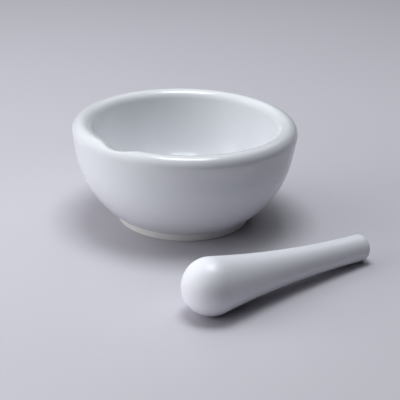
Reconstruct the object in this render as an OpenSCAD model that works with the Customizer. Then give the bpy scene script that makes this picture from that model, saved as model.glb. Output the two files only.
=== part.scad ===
// Laboratory mortar and pestle of glazed porcelain: a thick-walled bowl with a round rim,
// a pressed pouring spout and a low foot ring, and a solid pestle lying beside it.
// The origin is the centre of the foot ring on the table, +Z is up, and the spout points to -Y.

/* [Bowl] */
// Largest diameter of the bowl, across the outside of the rim
bowl_d = 120; // [110:1:140]
// Height from the table to the top of the rim
bowl_h = 55; // [52:1:60]
// Thickness of the rim, which is half round in section
rim_t = 10.6; // [9:0.2:13]
// Radius of the curve of the outer wall, seen from the side
wall_r = 52.2; // [50:0.2:56]
// Lean of the upper wall, which flares outwards below the rim
flare_angle = 9.5; // [5:0.5:12]
// Height of the straight flared band between the curved wall and the rim
flare_h = 10.4; // [6:0.2:14]
// Thickness of the floor under the deepest point of the hollow
floor_t = 8; // [6:0.5:12]

/* [Foot ring] */
// Diameter of the foot ring where it meets the wall
foot_d = 72; // [64:1:76]
// Diameter of the foot ring at the table
foot_base_d = 70; // [60:1:74]
// Height of the foot ring
foot_h = 5; // [4:0.5:7]
// Width of the flat bearing face of the foot ring
foot_face_w = 5.5; // [4:0.5:8]
// Depth of the recess inside the foot ring
foot_recess = 3; // [2:0.5:4]

/* [Spout] */
// Radius of the pouring groove, across the groove
groove_r = 16; // [12:0.5:18]
// Slope of the groove's floor, which runs down into the bowl
groove_slope = 32; // [26:1:40]
// How far the groove's floor lies below the top of the rim, at the lip
lip_drop = 1.2; // [1:0.1:2.5]
// Distance of the lip from the outside of the rim
lip_inset = 3; // [2:0.1:4]

/* [Pestle] */
// Overall length of the pestle
pestle_len = 117; // [105:1:140]
// Diameter of the ball-shaped grinding head
head_d = 28; // [24:0.5:34]
// Diameter of the grip, near the far end
grip_d = 13.8; // [12:0.2:16]
// Length of the cylindrical stretch before the far end
grip_len = 6; // [4:0.5:12]
// Radius of the rounded edge of the far end
grip_edge_r = 2.6; // [2:0.1:4]
// Height of the low dome of the far end
grip_dome_h = 1.6; // [0.8:0.1:2.5]

/* [Place of the pestle] */
// Centre of the grinding head, to the right of the bowl's axis
head_x = 82.6; // [80:0.1:110]
// Centre of the grinding head, in front of the bowl's axis
head_front = 82.8; // [60:0.1:90]
// Direction that the grip points in, counted from +X
pestle_heading = 77.8; // [75:0.2:100]

/* [Hidden] */
$fn = 128;
PORCELAIN = "#e9edf3";
PESTLE_PORCELAIN = "#e3e7ee";

arc_step = 4;          // degrees between the points of an arc
rim_step = 8;          // the same, along the rim
taper_step = 0.5;      // the same, along the long curve of the pestle's taper
end_step = 8;          // the same, at the pestle's far end
edge_end_angle = 70;   // where the rounded edge of the far end passes into its dome
foot_edge = 0.6;       // bevel at the outer edge of the bearing face
recess_lean = 1;       // how much the recess narrows towards its roof
overlap = 10;          // how far the groove's tool passes the rim
groove_reach = 30;     // how far the groove's tool runs into the hollow

rim_r = rim_t / 2;
rim_c = [bowl_d / 2 - rim_r, bowl_h - rim_r];
hollow_z = foot_recess + floor_t;
hollow_h = rim_c.y - hollow_z;
hollow_r = (pow(rim_c.x, 2) + pow(hollow_h, 2) - pow(rim_r, 2)) / (2 * (hollow_h + rim_r));
hollow_c = [0, hollow_z + hollow_r];
rim_inner_angle = 180 - atan2(hollow_c.y - rim_c.y, rim_c.x);

flare_normal = [cos(flare_angle), -sin(flare_angle)];
flare_down = [-sin(flare_angle), -cos(flare_angle)];
flare_top = rim_c + rim_r * flare_normal;
flare_foot = flare_top + flare_h / cos(flare_angle) * flare_down;
wall_c = flare_foot - wall_r * flare_normal;
wall_low_angle = asin((foot_h - wall_c.y) / wall_r);

head_r = head_d / 2;
grip_r = grip_d / 2;
end_y = pestle_len - head_r;
grip_start = end_y - grip_len - grip_edge_r - grip_dome_h;
taper_r = (pow(grip_start, 2) + pow(grip_r, 2) - pow(head_r, 2)) / (2 * (head_r - grip_r));
taper_c = [grip_r + taper_r, grip_start];
taper_angle = atan2(taper_c.y, taper_c.x);
edge_c = [grip_r - grip_edge_r, end_y - grip_dome_h - grip_edge_r];
edge_end = edge_c + grip_edge_r * [cos(edge_end_angle), sin(edge_end_angle)];
dome_sag = end_y - edge_end.y;
dome_r = (pow(edge_end.x, 2) + pow(dome_sag, 2)) / (2 * dome_sag);
dome_angle = asin(edge_end.x / dome_r);
lie_tilt = asin((head_r - grip_edge_r) / norm(edge_c)) - atan2(edge_c.x, edge_c.y);

// Points along an arc about centre c, from angle a0 to angle a1
function arc(c, r, a0, a1, step = arc_step) =
    let (n = max(2, ceil(abs(a1 - a0) / step)))
    [for (i = [0 : n]) c + r * [cos(a0 + (a1 - a0) * i / n), sin(a0 + (a1 - a0) * i / n)]];

// Half section of the bowl: foot, curved wall, flare, half-round rim and spherical hollow
module bowl_section() {
    foot_r = foot_base_d / 2;
    inner_r = foot_r - foot_edge - foot_face_w;
    polygon(concat(
        [[0, foot_recess], [inner_r - recess_lean, foot_recess], [inner_r, 0]],
        [[foot_r - foot_edge, 0], [foot_r, foot_edge], [foot_d / 2, foot_h]],
        arc(wall_c, wall_r, wall_low_angle, -flare_angle),
        arc(rim_c, rim_r, -flare_angle, rim_inner_angle, rim_step),
        arc(hollow_c, hollow_r, rim_inner_angle - 180, -90)
    ));
}

// The round-bottomed tool that leaves the pouring groove, from the hollow out over the lip
module groove_tool() {
    translate([0, lip_inset - bowl_d / 2, bowl_h - lip_drop])
        rotate([-groove_slope, 0, 0])
            translate([0, groove_reach, groove_r])
                rotate([90, 0, 0])
                    cylinder(r = groove_r, h = groove_reach + overlap);
}

module mortar() {
    color(PORCELAIN)
        difference() {
            rotate_extrude()
                bowl_section();
            groove_tool();
        }
}

// Half section of the pestle, with the centre of the head at the origin and the grip along +Y
module pestle_section() {
    polygon(concat(
        arc([0, 0], head_r, -90, taper_angle),
        arc(taper_c, taper_r, 180 + taper_angle, 180, taper_step),
        arc(edge_c, grip_edge_r, 0, edge_end_angle, end_step),
        arc([0, end_y - dome_r], dome_r, 90 - dome_angle, 90, end_step)
    ));
}

// The pestle lies on its head and on the rounded edge of its far end
module pestle() {
    color(PESTLE_PORCELAIN)
        translate([head_x, -head_front, head_r])
            rotate([0, 90 + lie_tilt, pestle_heading])
                rotate_extrude()
                    pestle_section();
}

mortar();
pestle();
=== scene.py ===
"""Looks of a porcelain laboratory mortar and pestle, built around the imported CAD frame.

Both CAD solids are replaced by smooth meshes of the same size in the same place: a bowl with a
half-round rim, a pressed pouring groove and a bare foot ring, and a ball-headed pestle.
The pieces' outlines are drawn in millimetres, and the scene itself is in metres.
"""
import math

import bpy
import numpy as np
from mathutils import Matrix, Vector


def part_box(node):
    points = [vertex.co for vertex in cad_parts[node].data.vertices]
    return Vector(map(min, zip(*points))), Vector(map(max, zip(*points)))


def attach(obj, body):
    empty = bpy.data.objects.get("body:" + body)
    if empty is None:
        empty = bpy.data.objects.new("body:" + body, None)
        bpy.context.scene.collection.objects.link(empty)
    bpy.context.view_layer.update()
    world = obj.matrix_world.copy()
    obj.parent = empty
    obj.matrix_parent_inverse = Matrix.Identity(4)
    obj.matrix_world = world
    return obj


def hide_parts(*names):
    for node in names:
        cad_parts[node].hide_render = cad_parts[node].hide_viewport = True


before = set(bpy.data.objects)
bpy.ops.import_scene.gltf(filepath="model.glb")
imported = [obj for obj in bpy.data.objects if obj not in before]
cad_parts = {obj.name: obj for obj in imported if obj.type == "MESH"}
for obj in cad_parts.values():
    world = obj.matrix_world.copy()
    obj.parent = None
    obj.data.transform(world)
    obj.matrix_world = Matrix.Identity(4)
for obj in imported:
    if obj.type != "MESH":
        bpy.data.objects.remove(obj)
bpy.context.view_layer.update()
MM = 0.001
TINY = 1e-6

# ---------------------------------------------------------------- driving dimensions, millimetres
bowl_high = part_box("mortar")[1] / MM
pestle_low, pestle_high = (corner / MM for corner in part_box("pestle"))

RIM_OUTER_R = 60.0
BOWL_H = bowl_high.z
RIM_R = 5.3
WALL_R = 52.2
FLARE_ANGLE = 9.5
FLARE_H = 10.4
FLOOR_T = 8.0

FOOT_TOP_R = 36.0
FOOT_BASE_R = 35.0
FOOT_H = 5.0
FOOT_FACE_W = 5.5
FOOT_EDGE = 0.6
FOOT_RECESS = 3.0
FOOT_INNER_R = FOOT_BASE_R - FOOT_EDGE - FOOT_FACE_W
RECESS_LEAN = 1.0          # how far the recess's side leans in
RECESS_FILLET = 1.2
FOOT_INNER_FILLET = 0.5
FOOT_OUTER_FILLET = 0.7
FOOT_SHOULDER_FILLET = 0.5
FOOT_CREASE_FILLET = 0.6

GROOVE_R = 16.0
GROOVE_SLOPE = 32.0
LIP_DROP = 1.2
LIP_INSET = 3.0
GROOVE_SOFTNESS = 2.6      # width over which the groove's edges are rounded
GROOVE_FADE = (17.0, 26.0)  # how far down the bowl the groove's tool stops cutting

HEAD_R = (pestle_high.z - pestle_low.z) / 2
HEAD_AT = Vector((pestle_low.x + HEAD_R, pestle_low.y + HEAD_R, HEAD_R))
PESTLE_LEN = 117.0
GRIP_R = 6.9
GRIP_LEN = 6.0
GRIP_EDGE_R = 2.6
GRIP_EDGE_ANGLE = 70.0     # how far round the end's edge goes before the dome starts
GRIP_DOME_H = 1.6
PESTLE_HEADING = 77.8

BARE_INSET = 0.4           # the bare clay starts this far inside the foot's face
BARE_DROP = 0.35           # and ends this far below the foot's top

DENT = 0.06                # half of how far the wall's waviness goes in
DENT_RISE = 10.0           # height above the foot at which it is full
DENT_REACH = 20.0          # distance from the axis at which it is full
# Each wave: its share, its count round the axis, its phase, and its drift per millimetre of height.
DENT_WAVES = ((1.0, 3, 0.7, 0.05), (0.7, 5, -1.1, 0.11), (0.5, 2, 2.0, 0.23))

# ---------------------------------------------------------------- mesh density
FOOT_STEP, WALL_STEP, RIM_STEP, HOLLOW_STEP = 0.8, 1.0, 0.45, 0.9
HEAD_STEP, TAPER_STEP, GRIP_EDGE_STEP, DOME_STEP = 0.7, 1.2, 0.35, 0.5
BOWL_POLE_R = 0.4          # the underside's smallest ring of points
HOLLOW_END = -89.5         # the angle at which the hollow's section stops, just short of the axis
POLE_ANGLE = 89            # the same for both ends of the pestle
BOWL_TURNS, PESTLE_TURNS = 460, 144
AZIMUTH_SAMPLES = 7201
SPOUT_AZIMUTH, SPOUT_WIDTH, SPOUT_GAIN = 270, 26, 2.2  # where and how much closer the points are

# ---------------------------------------------------------------- camera and studio, metres
CAMERA_AZIMUTH = 37.53
CAMERA_ELEVATION = 22.38
CAMERA_DISTANCE = 0.7113
CAMERA_ROLL = 1.55
CAMERA_AIM = Vector((0.0229, -0.0152, 0.020))
CAMERA_LENS = 122.4
CAMERA_SENSOR = 36
CAMERA_CLIP = (0.01, 50)
STUDIO_CENTRE = Vector((0.02, -0.02, 0))
FLOOR_HALF = 4.0
STEEP = 0.9                # a softbox facing down more than this is turned along the studio
UP = Vector((0, 0, 1))

# ---------------------------------------------------------------- materials
NOISE_RANGE = (0.3, 0.7)   # the part of a noise's values that a colour or a gloss spans
PORCELAIN_IOR = 1.52
BISQUE_IOR = 1.45


def direction(azimuth, elevation):
    """Unit vector from the object towards that azimuth and elevation, 0 being in front."""
    a, e = math.radians(azimuth), math.radians(elevation)
    return Vector((math.sin(a) * math.cos(e), -math.cos(a) * math.cos(e), math.sin(e)))


def add_camera():
    data = bpy.data.cameras.new("camera")
    data.lens = CAMERA_LENS
    data.sensor_width = CAMERA_SENSOR
    data.clip_start, data.clip_end = CAMERA_CLIP
    camera = bpy.data.objects.new("camera", data)
    bpy.context.scene.collection.objects.link(camera)
    back = direction(CAMERA_AZIMUTH, CAMERA_ELEVATION)
    turn = (-back).to_track_quat("-Z", "Y").to_matrix()
    roll = Matrix.Rotation(math.radians(CAMERA_ROLL), 3, "Z")
    camera.rotation_mode = "QUATERNION"
    camera.rotation_quaternion = (turn @ roll).to_quaternion()
    camera.location = CAMERA_AIM + back * CAMERA_DISTANCE
    bpy.context.scene.camera = camera


def studio(ahead, aside, up):
    """Place in the studio: metres beyond the object, to its right and above the table."""
    a = math.radians(CAMERA_AZIMUTH)
    beyond, right = Vector((-math.sin(a), math.cos(a), 0)), Vector((math.cos(a), math.sin(a), 0))
    return STUDIO_CENTRE + beyond * ahead + right * aside + UP * up


def add_softbox(name, place, aim, size, power, colour, shines=True):
    """A rectangular studio light, size being (across, along), turned to face aim.
    One that doesn't shine is too diffuse to be seen as a reflection in the glaze."""
    data = bpy.data.lights.new(name, "AREA")
    data.shape = "RECTANGLE"
    data.size, data.size_y = size
    data.energy = power
    data.color = colour
    light = bpy.data.objects.new(name, data)
    bpy.context.scene.collection.objects.link(light)
    forward = (aim - place).normalized()
    along = UP if abs(forward.z) < STEEP else studio(1, 0, 0) - STUDIO_CENTRE
    side = forward.cross(along).normalized()
    turn = Matrix((side, side.cross(forward), -forward)).transposed()
    light.rotation_mode = "QUATERNION"
    light.rotation_quaternion = turn.to_quaternion()
    light.location = place
    light.visible_glossy = shines


def add_world(colour, strength):
    world = bpy.data.worlds.new("studio")
    world.use_nodes = True
    background = world.node_tree.nodes["Background"]
    background.inputs["Color"].default_value = (*colour, 1)
    background.inputs["Strength"].default_value = strength
    bpy.context.scene.world = world


# ---------------------------------------------------------------- section outlines
def on_circle(centre, radius, angle):
    """The point at an angle in degrees on a circle."""
    a = math.radians(angle)
    return np.array([centre[0] + radius * math.cos(a), centre[1] + radius * math.sin(a)])


def arc(centre, radius, start, end, step):
    """Points along an arc in degrees, about step millimetres apart."""
    n = max(2, math.ceil(abs(math.radians(end - start)) * radius / step))
    return np.stack([on_circle(centre, radius, angle) for angle in np.linspace(start, end, n + 1)])


def line(start, end, step):
    """Points along a straight line, about step millimetres apart."""
    n = max(1, math.ceil(math.dist(start, end) / step))
    t = np.linspace(0, 1, n + 1)[:, None]
    return np.array(start) * (1 - t) + np.array(end) * t


def rounded(corners, step):
    """A polyline through corners (x, y, fillet radius), each corner rounded by its radius."""
    outline = np.array([corners[0][:2]], float)
    for before, here, after in zip(corners, corners[1:], corners[2:]):
        p, radius = np.array(here[:2], float), here[2]
        a = np.array(before[:2]) - p
        b = np.array(after[:2]) - p
        a, b = a / np.linalg.norm(a), b / np.linalg.norm(b)
        half = math.acos(float(np.clip(a @ b, -1, 1))) / 2
        reach = radius / math.tan(half)
        middle = (a + b) / np.linalg.norm(a + b)
        centre = p + middle * radius / math.sin(half)
        first, last = p + a * reach - centre, p + b * reach - centre
        start = math.degrees(math.atan2(first[1], first[0]))
        sweep = math.degrees(math.atan2(first[0] * last[1] - first[1] * last[0], first @ last))
        fillet = arc(centre, radius, start, start + sweep, min(step, radius / 4))
        outline = np.concatenate([outline, line(outline[-1], fillet[0], step)[1:], fillet[1:]])
    return np.concatenate([outline, line(outline[-1], corners[-1][:2], step)[1:]])


def bowl_section():
    """Half section of the bowl as (radius, height), from the middle of the underside round to the
    middle of the hollow."""
    rim_c = np.array([RIM_OUTER_R - RIM_R, BOWL_H - RIM_R])
    lean = math.radians(FLARE_ANGLE)
    flare_top = on_circle(rim_c, RIM_R, -FLARE_ANGLE)
    flare_foot = flare_top - FLARE_H * np.array([math.tan(lean), 1])
    wall_c = on_circle(flare_foot, -WALL_R, -FLARE_ANGLE)
    wall_low = math.degrees(math.asin((FOOT_H - wall_c[1]) / WALL_R))
    wall = arc(wall_c, WALL_R, wall_low, -FLARE_ANGLE, WALL_STEP)

    floor_z = FOOT_RECESS + FLOOR_T
    hollow_h = rim_c[1] - floor_z
    hollow_r = (rim_c[0] ** 2 + hollow_h ** 2 - RIM_R ** 2) / (2 * (hollow_h + RIM_R))
    hollow_c = (0.0, floor_z + hollow_r)
    inner_angle = 180 - math.degrees(math.atan2(hollow_c[1] - rim_c[1], rim_c[0]))

    foot = rounded([
        (BOWL_POLE_R, FOOT_RECESS),
        (FOOT_INNER_R - RECESS_LEAN, FOOT_RECESS, RECESS_FILLET),
        (FOOT_INNER_R, 0.0, FOOT_INNER_FILLET),
        (FOOT_BASE_R, 0.0, FOOT_OUTER_FILLET),
        (FOOT_TOP_R, FOOT_H, FOOT_SHOULDER_FILLET),
        (*wall[0], FOOT_CREASE_FILLET),
        tuple(wall[2]),
    ], FOOT_STEP)
    return np.concatenate([
        foot,
        wall[3:],
        line(flare_foot, flare_top, WALL_STEP)[1:],
        arc(rim_c, RIM_R, -FLARE_ANGLE, inner_angle, RIM_STEP)[1:],
        arc(hollow_c, hollow_r, inner_angle - 180, HOLLOW_END, HOLLOW_STEP)[1:],
    ])


def pestle_section():
    """Half section of the pestle as (radius, distance from the head's centre), tip to far end."""
    end = PESTLE_LEN - HEAD_R
    grip_start = end - GRIP_LEN - GRIP_EDGE_R - GRIP_DOME_H
    taper_r = (grip_start ** 2 + GRIP_R ** 2 - HEAD_R ** 2) / (2 * (HEAD_R - GRIP_R))
    taper_c = (GRIP_R + taper_r, grip_start)
    tangent = math.degrees(math.atan2(taper_c[1], taper_c[0]))
    edge_c = (GRIP_R - GRIP_EDGE_R, end - GRIP_DOME_H - GRIP_EDGE_R)
    corner = on_circle(edge_c, GRIP_EDGE_R, GRIP_EDGE_ANGLE)
    sag = end - corner[1]
    dome_r = (corner[0] ** 2 + sag ** 2) / (2 * sag)
    dome = math.degrees(math.asin(corner[0] / dome_r))
    return np.concatenate([
        arc((0, 0), HEAD_R, -POLE_ANGLE, tangent, HEAD_STEP),
        arc(taper_c, taper_r, 180 + tangent, 180, TAPER_STEP)[1:],
        line((GRIP_R, grip_start), (GRIP_R, edge_c[1]), TAPER_STEP)[1:],
        arc(edge_c, GRIP_EDGE_R, 0, GRIP_EDGE_ANGLE, GRIP_EDGE_STEP)[1:],
        arc((0, end - dome_r), dome_r, 90 - dome, POLE_ANGLE, DOME_STEP)[1:],
    ])


# ---------------------------------------------------------------- meshes
def azimuths(count, dense_at, dense_width, dense_gain):
    """Angles round the axis, closer together about dense_at, all in degrees."""
    fine = np.linspace(0, 360, AZIMUTH_SAMPLES)
    gap = np.abs((fine - dense_at + 180) % 360 - 180)
    weight = 1 + dense_gain * np.exp(-(gap / dense_width) ** 2)
    total = np.concatenate([[0], np.cumsum((weight[1:] + weight[:-1]) / 2)])
    return np.interp(np.arange(count) / count * total[-1], total, fine)


def spin(section, angles):
    """Grid of points of the section turned about Z: angles by section points by 3."""
    a = np.radians(angles)[:, None]
    r, z = section[None, :, 0], section[None, :, 1]
    return np.stack(np.broadcast_arrays(r * np.cos(a), r * np.sin(a), z), 2)


def spun_object(name, grid, first_pole, last_pole):
    """A closed mesh from a grid of points round an axis, with a point at each pole."""
    turns, count = grid.shape[:2]
    points = np.concatenate([grid.reshape(-1, 3), [first_pole, last_pole]]) * MM
    first, last = turns * count, turns * count + 1
    faces = []
    for i in range(turns):
        a, b = i * count, (i + 1) % turns * count
        faces.append((first, b, a))
        faces.extend((a + k, b + k, b + k + 1, a + k + 1) for k in range(count - 1))
        faces.append((last, a + count - 1, b + count - 1))
    mesh = bpy.data.meshes.new(name)
    mesh.from_pydata(points.tolist(), [], faces)
    mesh.shade_smooth()
    piece = bpy.data.objects.new(name, mesh)
    bpy.context.scene.collection.objects.link(piece)
    return piece


def smooth_max(value, floor, width):
    """The larger of the two, rounded where they are within width of each other."""
    h = np.clip(width - np.abs(value - floor), 0, None) / width
    return np.maximum(value, floor) + h * h * width / 4


def press_groove(points):
    """Pushes the rim away from a round bar laid over it at -Y, which leaves the pouring groove."""
    slope = math.radians(GROOVE_SLOPE)
    along = np.array([0, math.cos(slope), -math.sin(slope)])
    up = np.array([0, math.sin(slope), math.cos(slope)])
    lip = np.array([0, LIP_INSET - RIM_OUTER_R, BOWL_H - LIP_DROP])
    offset = points - (lip + up * GROOVE_R)
    travel = offset @ along
    radial = offset - travel[..., None] * along
    distance = np.maximum(np.linalg.norm(radial, axis=-1), TINY)
    pushed = smooth_max(distance, GROOVE_R, GROOVE_SOFTNESS)
    full, none = GROOVE_FADE
    fade = np.clip((none - travel) / (none - full), 0, 1)
    fade = fade * fade * (3 - 2 * fade)
    near = np.where(distance < GROOVE_R + GROOVE_SOFTNESS, fade, 0)
    return points + radial * ((pushed / distance - 1) * near)[..., None]


def dent(points):
    """Draws the wall in a little by the slow waviness of a hand-finished, fired surface."""
    x, y, z = (points[..., i] for i in range(3))
    turn, radius = np.arctan2(y, x), np.maximum(np.hypot(x, y), TINY)
    wave = sum(share * np.sin(count * turn + phase + z * drift)
               for share, count, phase, drift in DENT_WAVES)
    depth = DENT * (wave / sum(share for share, *_ in DENT_WAVES) - 1)
    depth *= np.clip((z - FOOT_H) / DENT_RISE, 0, 1) * np.clip(radius / DENT_REACH, 0, 1)
    dented = points.copy()
    dented[..., :2] *= (1 + depth / radius)[..., None]
    return dented


def make_mortar():
    angles = azimuths(BOWL_TURNS, SPOUT_AZIMUTH, SPOUT_WIDTH, SPOUT_GAIN)
    grid = dent(press_groove(spin(bowl_section(), angles)))
    poles = (0, 0, FOOT_RECESS), (0, 0, FOOT_RECESS + FLOOR_T)
    piece = spun_object("mortar_bowl", grid, *poles)
    for face in piece.data.polygons:
        x, y, z = face.center / MM
        on_foot = math.hypot(x, y) > FOOT_INNER_R - BARE_INSET and z < FOOT_H - BARE_DROP
        face.material_index = int(on_foot)
    return piece


def make_pestle():
    """The pestle, lying with its head and the far end's edge on the table."""
    edge_z = PESTLE_LEN - HEAD_R - GRIP_DOME_H - GRIP_EDGE_R
    edge_r = GRIP_R - GRIP_EDGE_R
    tilt = math.asin((HEAD_R - GRIP_EDGE_R) / math.hypot(edge_z, edge_r)) - math.atan2(edge_r, edge_z)
    turn = Matrix.Rotation(math.radians(PESTLE_HEADING), 3, "Z")
    turn = np.array(turn @ Matrix.Rotation(math.pi / 2 + tilt, 3, "Y"))
    grid = spin(pestle_section(), np.arange(PESTLE_TURNS) * 360 / PESTLE_TURNS)
    poles = np.array([[0, 0, -HEAD_R], [0, 0, PESTLE_LEN - HEAD_R]])
    place = np.array(HEAD_AT)
    return spun_object("pestle_body", grid @ turn.T + place, *(poles @ turn.T + place))


# ---------------------------------------------------------------- material nodes
def new_material(name):
    material = bpy.data.materials.new(name)
    material.use_nodes = True
    tree = material.node_tree
    return material, tree.nodes, tree.links, tree.nodes["Principled BSDF"]


def noise(nodes, links, coords, scale, detail):
    node = nodes.new("ShaderNodeTexNoise")
    node.inputs["Scale"].default_value = scale
    node.inputs["Detail"].default_value = detail
    links.new(coords.outputs["Object"], node.inputs["Vector"])
    return node


def blend(nodes, links, source, dark, light):
    """A colour ramp from dark to light over a noise."""
    node = nodes.new("ShaderNodeValToRGB")
    for element, position, colour in zip(node.color_ramp.elements, NOISE_RANGE, (dark, light)):
        element.position = position
        element.color = (*colour, 1)
    links.new(source.outputs["Fac"], node.inputs["Fac"])
    return node


def spread(nodes, links, source, low, high):
    """Maps a noise to low..high."""
    node = nodes.new("ShaderNodeMapRange")
    node.inputs["From Min"].default_value, node.inputs["From Max"].default_value = NOISE_RANGE
    node.inputs["To Min"].default_value = low
    node.inputs["To Max"].default_value = high
    links.new(source.outputs["Fac"], node.inputs["Value"])
    return node


def bump(nodes, links, source, strength, distance, normal=None):
    node = nodes.new("ShaderNodeBump")
    node.inputs["Strength"].default_value = strength
    node.inputs["Distance"].default_value = distance
    links.new(source.outputs["Fac"], node.inputs["Height"])
    if normal is not None:
        links.new(normal.outputs["Normal"], node.inputs["Normal"])
    return node


def porcelain(name, dark, light, gloss, wave, grain):
    """Fired white porcelain: cloudy colour, uneven gloss, slow ripples and a fine grain."""
    material, nodes, links, shader = new_material(name)
    coords = nodes.new("ShaderNodeTexCoord")
    clouds = noise(nodes, links, coords, scale=38, detail=4)
    fine = noise(nodes, links, coords, scale=900, detail=2)
    ripples = noise(nodes, links, coords, scale=60, detail=2)
    colour = blend(nodes, links, clouds, dark, light)
    links.new(colour.outputs["Color"], shader.inputs["Base Color"])
    roughness = spread(nodes, links, clouds, *gloss)
    links.new(roughness.outputs["Result"], shader.inputs["Roughness"])
    slow = bump(nodes, links, ripples, wave, distance=0.0004)
    grainy = bump(nodes, links, fine, grain, distance=0.00002, normal=slow)
    links.new(grainy.outputs["Normal"], shader.inputs["Normal"])
    shader.inputs["IOR"].default_value = PORCELAIN_IOR
    return material


def bisque(name, dark, light, roughness):
    """The bare, unglazed foot: matt, warmer and faintly gritty."""
    material, nodes, links, shader = new_material(name)
    coords = nodes.new("ShaderNodeTexCoord")
    grit = noise(nodes, links, coords, scale=1400, detail=3)
    stain = noise(nodes, links, coords, scale=120, detail=4)
    colour = blend(nodes, links, stain, dark, light)
    links.new(colour.outputs["Color"], shader.inputs["Base Color"])
    gritty = bump(nodes, links, grit, strength=0.5, distance=0.00008)
    links.new(gritty.outputs["Normal"], shader.inputs["Normal"])
    shader.inputs["Roughness"].default_value = roughness
    shader.inputs["IOR"].default_value = BISQUE_IOR
    return material


def tabletop(name, dark, light, roughness):
    """Plain pale tabletop with a faint sheen."""
    material, nodes, links, shader = new_material(name)
    coords = nodes.new("ShaderNodeTexCoord")
    clouds = noise(nodes, links, coords, scale=3, detail=2)
    colour = blend(nodes, links, clouds, dark, light)
    links.new(colour.outputs["Color"], shader.inputs["Base Color"])
    shader.inputs["Roughness"].default_value = roughness
    return material


# ---------------------------------------------------------------- scene
def add_floor(material):
    mesh = bpy.data.meshes.new("floor")
    corners = [(-1, -1, 0), (1, -1, 0), (1, 1, 0), (-1, 1, 0)]
    mesh.from_pydata([(x * FLOOR_HALF, y * FLOOR_HALF, z) for x, y, z in corners], [], [(0, 1, 2, 3)])
    mesh.materials.append(material)
    floor = bpy.data.objects.new("floor", mesh)
    bpy.context.scene.collection.objects.link(floor)


add_camera()
add_floor(tabletop("tabletop", dark=(0.602, 0.586, 0.632), light=(0.617, 0.601, 0.647), roughness=0.5))
add_world((0.9, 0.88, 0.86), strength=0.02)
cool, neutral = (0.94, 0.97, 1.0), (0.98, 0.99, 1.0)
above = studio(0.50, 0.0, 0.82)
add_softbox("overhead", above, above - UP, size=(1.4, 1.4), power=5.3, colour=cool)
core = studio(0.08, 0.0, 0.88)
add_softbox("overhead_core", core, core - UP, size=(0.40, 0.40), power=4.0, colour=cool)
add_softbox("left_wall", studio(-0.20, -0.55, 0.16), STUDIO_CENTRE, size=(0.60, 0.33), power=2.25,
            colour=neutral, shines=False)
add_softbox("left_high", studio(0.07, -0.82, 0.57), STUDIO_CENTRE, size=(1.0, 0.55), power=1.8,
            colour=neutral, shines=False)
add_softbox("left_core", studio(0.14, -0.71, 0.70), STUDIO_CENTRE, size=(0.30, 0.20), power=0.4,
            colour=neutral)
bpy.context.scene.view_settings.view_transform = "Standard"
bpy.context.scene.view_settings.gamma = 0.88

mortar = make_mortar()
mortar.data.materials.append(porcelain(
    "bowl_glaze", dark=(0.728, 0.738, 0.766), light=(0.742, 0.752, 0.780), gloss=(0.16, 0.20),
    wave=0.12, grain=0.05))
mortar.data.materials.append(bisque(
    "foot_bisque", dark=(0.66, 0.655, 0.64), light=(0.71, 0.705, 0.69), roughness=0.85))
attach(mortar, "mortar")
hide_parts("mortar")

pestle = make_pestle()
pestle.data.materials.append(porcelain(
    "pestle_glaze", dark=(0.838, 0.841, 0.884), light=(0.852, 0.855, 0.900), gloss=(0.29, 0.36),
    wave=0.10, grain=0.2))
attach(pestle, "pestle")
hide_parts("pestle")
